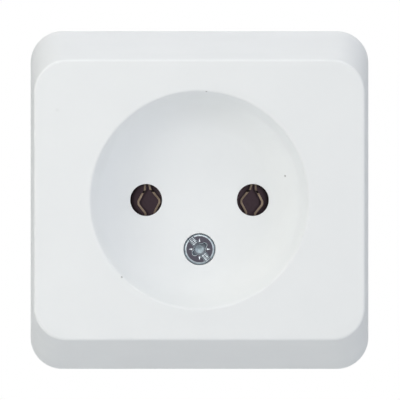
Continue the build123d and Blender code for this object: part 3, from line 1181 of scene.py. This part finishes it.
@dataclass(frozen=True)
class SlotScrew:
    """A cheese-head screw with a driver's slot and a threaded shank, built upright on its own axis."""

    node: str
    spot: Span
    turn: float
    top: float
    tip: float
    head_radius: float
    head_height: float
    shank_radius: float
    head_edge: float = 0.45
    slot_width: float = 1.0
    slot_depth: float = 1.2
    slot_edge: float = 0.07
    thread_pitch: float = 0.6
    thread_depth: float = 0.26
    thread_rows: int = 6
    plain_shank: float = 1.2
    tip_chamfer: float = 0.5

    @classmethod
    def from_frame(cls, node: str, turn: float, head_height: float, shank_radius: float) -> "SlotScrew":
        """Take the screw's place and outer sizes from its CAD node.

        Args:
            node: The node's name.
            turn: Angle of the slot, from the right.
            head_height: Height of the head.
            shank_radius: Radius of the shank.

        Returns:
            The screw.
        """
        low, high = (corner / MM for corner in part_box(node))
        spot = ((low.x + high.x) / 2, (low.z + high.z) / 2)
        return cls(node, spot, turn, -low.y, -high.y, (high.x - low.x) / 2, head_height, shank_radius)

    @property
    def seat(self) -> float:
        """Height of the head's underside."""
        return self.top - self.head_height

    @property
    def slot_floor(self) -> float:
        """Height of the slot's floor."""
        return self.top - self.slot_depth

    def recess_side(self, height: float, grow: float) -> list[Vector]:
        """Points of the slot's upper side between its ends, from left to right; a plain slot needs none.

        Args:
            height: Height of the outline.
            grow: How far the slanted upper edge widens the recess there.

        Returns:
            The points.
        """
        return []

    def half_loop(self, height: float, radius: float) -> list[Vector]:
        """Outline of the half of the head above the slot.

        Args:
            height: Height of the outline.
            radius: The head's radius there.

        Returns:
            The outline's points, from the slot's right end round the rim and back along the slot.
        """
        grow = max(0.0, self.slot_edge - (self.top - height))
        start = math.asin((self.slot_width / 2 + grow) / radius)
        points = arc(radius, start, math.pi - start, Outline.RIM.value) + self.recess_side(height, grow)
        return [point.to_3d() + Vector((0, 0, height)) for point in points]

    def add_halves(self, made: bmesh.types.BMesh) -> None:
        """Add the rim and the recess walls of the head's two halves beside the slot.

        Args:
            made: The screw so far.
        """
        rounding = arc(self.head_edge, 0, math.pi / 2, Outline.EDGE.value)
        corner = Vector((self.head_radius - self.head_edge, self.top - self.head_edge))
        rim = [Vector((self.head_radius, self.slot_floor))] + [corner + step for step in rounding]
        rows = [self.half_loop(spot.y, spot.x) for spot in rim]
        for turn in (0, math.pi):
            skin(made, [[Matrix.Rotation(turn, 3, "Z") @ point for point in row] for row in rows])

    def add_disc(self, made: bmesh.types.BMesh) -> None:
        """Add the rim of the whole disc under the slot.

        Args:
            made: The screw so far.
        """
        start = math.asin(self.slot_width / 2 / self.head_radius)
        points = arc(self.head_radius, start, math.pi - start, Outline.RIM.value)
        points += arc(self.head_radius, math.pi - start, math.pi + start, Outline.EDGE.value)[1:-1]
        points += [-point for point in points]
        heights = (self.seat, self.slot_floor)
        skin(made, [[point.to_3d() + Vector((0, 0, height)) for point in points] for height in heights])

    def thread_loop(self, height: float) -> list[Vector]:
        """Loop round the shank, in and out of the thread's groove.

        Args:
            height: The loop's height.

        Returns:
            The loop's points.
        """
        drop = self.seat - height
        depth = self.thread_depth * min(1.0, max(0.0, drop / self.plain_shank - 1))
        cut = max(0.0, self.tip_chamfer - (height - self.tip))
        points = []
        for angle in (math.tau * step / Outline.SHANK.value for step in range(Outline.SHANK.value)):
            phase = (drop / self.thread_pitch + angle / math.tau) % 1
            radius = self.shank_radius - max(cut, depth * abs(2 * phase - 1))
            points.append(Vector((radius * math.cos(angle), radius * math.sin(angle), height)))
        return points

    def add_shank(self, made: bmesh.types.BMesh) -> None:
        """Add the threaded shank from the head's underside to the tip.

        Args:
            made: The screw so far.
        """
        count = round((self.seat - self.tip) / self.thread_pitch * self.thread_rows)
        step = (self.seat - self.tip) / count
        skin(made, [self.thread_loop(self.seat - step * row) for row in range(count + 1)])

    def add_marks(self, made: bmesh.types.BMesh) -> None:
        """Add what the head has besides its slot; a plain slotted head has nothing."""

    def brighten(self, made: bmesh.types.BMesh) -> None:
        """Say how bright each face is; a plain screw is the same all over."""

    def build(self, material: bpy.types.Material, slot: Slot) -> bpy.types.Object:
        """Make the screw and put it in its CAD node's place.

        Args:
            material: The screw's finish.
            slot: The record's slot for it.

        Returns:
            The screw.
        """
        made = bmesh.new()
        made.faces.layers.float.new(SHINE)
        self.add_halves(made)
        self.add_disc(made)
        self.add_shank(made)
        bmesh.ops.remove_doubles(made, verts=made.verts, dist=NEAR)
        self.add_marks(made)
        for height in (self.top, self.slot_floor, self.seat, self.tip):
            close_level(made, height)
        self.brighten(made)
        place = Matrix.Translation((*self.spot, 0)) @ Matrix.Rotation(self.turn, 4, "Z")
        bmesh.ops.transform(made, matrix=place, verts=made.verts)
        stand(made)
        return finish_piece(made, f"{self.node}_detail", material, slot, self.node)


@dataclass(frozen=True)
class CrossSlotScrew(SlotScrew):
    """The cover screw: its head has a cross recess over the slot, four ticks and a roughened slot floor."""

    head_edge: float = 0.45
    slot_edge: float = 0.1
    wing_reach: float = 1.5
    wing_width: float = 0.9
    wing_lean: float = 0.3
    eye_radius: float = 0.95
    pit_radius: float = 0.74
    pit_floor_radius: float = 0.22
    pit_depth: float = 0.25
    tick_start: float = 1.3
    tick_end: float = 1.95
    tick_width: float = 0.3
    tick_depth: float = 0.05
    lip_share: float = 0.05
    burr_size: float = 0.3
    burr_height: float = 0.3
    burr_widths: Span = (0.4, 0.8)
    burr_lengths: Span = (0.9, 1.4)
    burr_heights: Span = (0.3, 0.9)
    burr_start: float = 1.15
    burr_end: float = 2.6
    burr_rows: int = 5
    burr_lanes: int = 2
    burr_pattern: int = 5

    def recess_side(self, height: float, grow: float) -> list[Vector]:
        """Points of the recess between the slot's ends: the round eye and one wing of the cross.

        Args:
            height: Height of the outline.
            grow: How far the slanted upper edge widens the recess there.

        Returns:
            The points, from left to right.
        """
        drawn_in = self.wing_lean * (self.top - height) / self.slot_depth
        eye = self.eye_radius + grow - drawn_in / 4
        wing = self.wing_width / 2 + grow - drawn_in / 4
        reach = self.wing_reach + grow - drawn_in
        low = math.asin((self.slot_width / 2 + grow) / eye)
        high = math.acos(wing / eye)
        points = arc(eye, low, high, Outline.EDGE.value)
        points += arc(wing, 0, math.pi, Outline.CORNER.value, (0, reach - wing))
        points += arc(eye, math.pi - high, math.pi - low, Outline.EDGE.value)
        return points[::-1]

    def add_marks(self, made: bmesh.types.BMesh) -> None:
        """Add the pit in the middle, the burrs in the slot and the ticks.

        Args:
            made: The screw so far.
        """
        self.add_pit(made)
        self.add_burrs(made)
        self.add_ticks(made)

    def brighten(self, made: bmesh.types.BMesh) -> None:
        """Say how bright each face is painted, by its place: painted highlights and painted reflections,
        partly wear.

        Args:
            made: The screw so far.
        """
        shine = made.faces.layers.float[SHINE]
        for face in made.faces:
            face[shine] = self.shine_at(face.calc_center_median()).value

    def shine_at(self, spot: Vector) -> Shine:
        """How bright the head is painted at a place: painted highlights on its rim, slot edges, ticks and
        burrs, and a painted dark reflection on its face, partly wear as well.

        Args:
            spot: The place, on the screw's own axis.

        Returns:
            The brightness.
        """
        depth = self.top - spot.z
        radius = spot.xy.length
        # Painted light: the top face is painted dark, the rim's upper lip brightest and the rest of the rim
        # lighter, and slot edges, ticks and burrs are painted glints.
        if depth < NEAR:
            return Shine.DULL
        if radius > self.head_radius - self.head_edge and depth < self.head_edge:
            return Shine.LIP if depth < self.head_edge * self.lip_share else Shine.RIM
        if depth < self.slot_edge:
            return Shine.GLINT
        if abs(depth - self.slot_depth) < NEAR:
            return Shine.SLOT
        in_slot = abs(spot.y) < self.slot_width / 2 - NEAR and radius > self.eye_radius
        raised = self.slot_depth - self.burr_height < depth < self.slot_depth
        return Shine.GLINT if in_slot and raised else Shine.WORN

    def add_pit(self, made: bmesh.types.BMesh) -> None:
        """Add the conical pit below the middle of the recess.

        Args:
            made: The screw so far.
        """
        bottom = self.slot_floor - self.pit_depth
        rows = []
        for height, radius in ((self.slot_floor, self.pit_radius), (bottom, self.pit_floor_radius)):
            circle = arc(radius, 0, math.tau, Outline.SHANK.value)[:-1]
            rows.append([point.to_3d() + Vector((0, 0, height)) for point in circle])
        skin(made, rows)
        close_level(made, bottom)

    def add_burrs(self, made: bmesh.types.BMesh) -> None:
        """Raise uneven burrs on the slot's floor near its ends.

        Args:
            made: The screw so far.
        """
        chance = random.Random(self.burr_pattern)
        step = (self.burr_end - self.burr_start) / self.burr_rows
        lane_step = self.slot_width / self.burr_lanes
        for row, lane, side in itertools.product(range(self.burr_rows), range(self.burr_lanes), (-1, 1)):
            width = self.burr_size * chance.uniform(*self.burr_widths)
            length = self.burr_size * chance.uniform(*self.burr_lengths)
            height = self.burr_height * chance.uniform(*self.burr_heights)
            across = (lane + 0.5) * lane_step - self.slot_width / 2
            along = side * (self.burr_start + step * (row + 0.5))
            middle = Vector((along, across, self.slot_floor + height / 2))
            size = Matrix.Diagonal((width, length, height, 1))
            block = bmesh.ops.create_cube(made, size=1, matrix=Matrix.Translation(middle) @ size)["verts"]
            foot = [v for v in block if v.co.z < middle.z]
            under = next(f for f in foot[0].link_faces if all(v in foot for v in f.verts))
            bmesh.ops.delete(made, geom=[under], context="FACES_ONLY")

    def add_ticks(self, made: bmesh.types.BMesh) -> None:
        """Sink the four ticks into the head, upright and level whatever the slot's turn.

        Args:
            made: The screw so far.
        """
        for quarter in range(4):
            turn = Matrix.Rotation(quarter * math.pi / 2 - self.turn, 3, "Z")
            half = self.tick_width / 2
            corners = [(self.tick_start, -half, 0), (self.tick_end, 0, 0), (self.tick_start, half, 0)]
            bottom = (self.tick_start + (self.tick_end - self.tick_start) / 3, 0, -self.tick_depth)
            rise = Vector((0, 0, self.top))
            rim = [made.verts.new(turn @ Vector(corner) + rise) for corner in corners]
            deep = made.verts.new(turn @ Vector(bottom) + rise)
            for index in range(len(rim)):
                made.faces.new((rim[index], rim[index - 1], deep))


def square_loop(half: float, radius: float, height: float) -> list[Vector]:
    """Level outline of a square with rounded corners.

    Args:
        half: Half of its side.
        radius: Radius of its corners.
        height: The outline's height.

    Returns:
        The outline's points.
    """
    inner = half - radius
    corners = ((inner, inner), (-inner, inner), (-inner, -inner), (inner, -inner))
    points = []
    for quarter, corner in enumerate(corners):
        start = quarter * math.pi / 2
        points += arc(radius, start, start + math.pi / 2, Outline.EDGE.value, corner)
    return [point.to_3d() + Vector((0, 0, height)) for point in points]


@dataclass(frozen=True)
class SquareNut:
    """A pressed square nut with soft edges and a slanted lead into its bore."""

    node: str
    spot: Span
    turn: float
    bottom: float
    top: float
    side: float
    bore_radius: float
    edge: float = 0.2
    corner_radius: float = 0.35
    bore_edge: float = 0.3

    @classmethod
    def from_frame(cls, node: str, turn: float, side: float, bore_radius: float) -> "SquareNut":
        """Take the nut's place and height from its CAD node.

        Args:
            node: The node's name.
            turn: How far the nut is turned.
            side: Width across its sides.
            bore_radius: Radius of its bore.

        Returns:
            The nut.
        """
        low, high = (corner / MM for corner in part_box(node))
        spot = ((low.x + high.x) / 2, (low.z + high.z) / 2)
        return cls(node, spot, turn, -high.y, -low.y, side, bore_radius)

    def build(self, material: bpy.types.Material, slot: Slot) -> bpy.types.Object:
        """Make the nut and put it in its CAD node's place.

        Args:
            material: The nut's finish.
            slot: The record's slot for it.

        Returns:
            The nut.
        """
        made = bmesh.new()
        half, edge, lead = self.side / 2, self.edge, self.bore_edge
        levels = ((self.bottom, edge), (self.bottom + edge, 0), (self.top - edge, 0), (self.top, edge))
        skin(made, [square_loop(half - inset, self.corner_radius, height) for height, inset in levels])
        turned(
            made,
            [
                (self.bore_radius + lead, self.bottom, 0),
                (self.bore_radius, self.bottom + lead, 0),
                (self.bore_radius, self.top - lead, 0),
                (self.bore_radius + lead, self.top, 0),
            ],
            Outline.SHANK.value,
        )
        bmesh.ops.remove_doubles(made, verts=made.verts, dist=NEAR)
        for height in (self.bottom, self.top):
            close_level(made, height)
        place = Matrix.Translation((*self.spot, 0)) @ Matrix.Rotation(self.turn, 4, "Z")
        bmesh.ops.transform(made, matrix=place, verts=made.verts)
        stand(made)
        return finish_piece(made, f"{self.node}_detail", material, slot, self.node)


@dataclass(frozen=True)
class DomedRivet:
    """A rivet with two domed heads, lying level along the leaning pole."""

    node: str
    spot: Place
    turn: float
    head_radius: float
    length: float = 3.12
    head: float = 0.7
    dome: float = 0.6
    shank_radius: float = 0.95

    @classmethod
    def from_frame(cls, node: str, turn: float) -> "DomedRivet":
        """Take the rivet's middle and its heads' radius from its CAD node.

        Args:
            node: The node's name.
            turn: Slant of the rivet's axis, from the right.

        Returns:
            The rivet.
        """
        low, high = (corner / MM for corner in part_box(node))
        middle = (low + high) / 2
        return cls(node, (middle.x, middle.z, -middle.y), turn, (high.y - low.y) / 2)

    def build(self, material: bpy.types.Material, slot: Slot) -> bpy.types.Object:
        """Make the rivet and put it in its CAD node's place.

        Args:
            material: The rivet's finish.
            slot: The record's slot for it.

        Returns:
            The rivet.
        """
        made = bmesh.new()
        end, under = self.length / 2, self.length / 2 - self.head
        upper = [(0, end, 0), (self.head_radius, end, self.dome), (self.head_radius, under, 0)]
        middle = [(self.shank_radius, under, 0), (self.shank_radius, -under, 0)]
        lower = [(across, -height, radius) for across, height, radius in reversed(upper)]
        turned(made, upper + middle + lower, Outline.SHANK.value)
        along = Matrix.Rotation(self.turn, 4, "Z") @ Matrix.Rotation(math.pi / 2, 4, "Y")
        bmesh.ops.transform(made, matrix=Matrix.Translation(self.spot) @ along, verts=made.verts)
        stand(made)
        return finish_piece(made, f"{self.node}_detail", material, slot, self.node)


@dataclass(frozen=True)
class SoftEdged:
    """A CAD piece whose hard edges are softly rounded, as on a moulding or a tumbled stamping."""

    node: str
    radius: float = 0.15

    def build(self, material: bpy.types.Material, slot: Slot) -> bpy.types.Object:
        """Make the piece from its CAD node's mesh.

        Args:
            material: The piece's finish.
            slot: The record's slot for it.

        Returns:
            The piece.
        """
        made = bmesh.new()
        made.from_mesh(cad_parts[self.node].data)
        bmesh.ops.remove_doubles(made, verts=made.verts, dist=NEAR * MM)
        bmesh.ops.dissolve_limit(
            made, angle_limit=FLAT, verts=made.verts, edges=made.edges, delimit={"NORMAL"}
        )
        hard = [edge for edge in made.edges if edge.is_manifold and edge.calc_face_angle() > SHARP]
        bmesh.ops.bevel(
            made,
            geom=hard,
            offset=self.radius * MM,
            segments=Outline.SOFT.value,
            profile=0.5,
            affect="EDGES",
            clamp_overlap=False,
            material=-1,
        )
        bmesh.ops.dissolve_degenerate(made, dist=NEAR * MM, edges=made.edges)
        return finish_piece(made, f"{self.node}_soft", material, slot, self.node)


@dataclass(frozen=True)
class CoverFixing:
    """The screw that holds the cover and its nut in the base."""

    slant: float = math.radians(-52)
    head_height: float = 2.2
    shank_radius: float = 1.5
    nut_side: float = 5.5
    nut_bore: float = 1.55

    def build(self, zinc: bpy.types.Material, steel: bpy.types.Material) -> None:
        """Make the screw and the nut.

        Args:
            zinc: The screw's finish.
            steel: The nut's finish.
        """
        screw = CrossSlotScrew.from_frame("cover_screw", self.slant, self.head_height, self.shank_radius)
        screw.build(zinc, Slot.COVER_SCREW_ZINC)
        nut = SquareNut.from_frame("cover_nut", 0, self.nut_side, self.nut_bore)
        nut.build(steel, Slot.PLATED_STEEL)


class Side(Enum):
    """The poles' sides, with the way each lies from the middle."""

    LEFT = -1
    RIGHT = 1


@dataclass(frozen=True)
class ContactPole:
    """One pole: its contact leaves, bracket and rivet, and the terminal for its wire."""

    side: Side
    lean: float = math.radians(5.8)
    slant: float = math.radians(52)
    head_height: float = 2.4
    shank_radius: float = 1.75
    nut_side: float = 6.0
    nut_bore: float = 1.8
    bracket_edge: float = 0.1
    leaf_edge: float = 0.05

    def node(self, piece: str) -> str:
        """Name of the CAD node of one of the pole's pieces."""
        return f"{self.side.name.lower()}_{piece}"

    def build(self, steel: bpy.types.Material, brass: bpy.types.Material) -> None:
        """Make the pole's pieces.

        Args:
            steel: Finish of the screw, its nut and the clamp plate.
            brass: Finish of the rivet, the bracket and the leaves.
        """
        lean = self.side.value * self.lean
        turn = self.side.value * self.slant - lean
        screw = SlotScrew.from_frame(self.node("terminal_screw"), turn, self.head_height, self.shank_radius)
        screw.build(steel, Slot.PLATED_STEEL)
        nut = SquareNut.from_frame(self.node("terminal_nut"), -lean, self.nut_side, self.nut_bore)
        nut.build(steel, Slot.PLATED_STEEL)
        DomedRivet.from_frame(self.node("rivet"), -lean).build(brass, Slot.CONTACT_BRASS)
        SoftEdged(self.node("clamp_plate")).build(steel, Slot.PLATED_STEEL)
        SoftEdged(self.node("terminal_bracket"), self.bracket_edge).build(brass, Slot.CONTACT_BRASS)
        for leaf in ("inner_leaf", "outer_leaf"):
            SoftEdged(self.node(leaf), self.leaf_edge).build(brass, Slot.CONTACT_BRASS)


def main() -> None:
    """Build the socket's looks piece by piece."""
    logging.basicConfig(level=logging.INFO)
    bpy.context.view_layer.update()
    steel = ZincPlate("plated_steel").material()
    brass = RolledBrass().material()
    CoverShell.from_frame().build(WhiteMoulding().material())
    CoverFixing().build(WornZincPaintedShine().material(), steel)
    SoftEdged("base").build(DarkMoulding().material(), Slot.DARK_BASE)
    for side in Side:
        ContactPole(side).build(steel, brass)
    Studio().build()


if __name__ == "__main__":
    main()
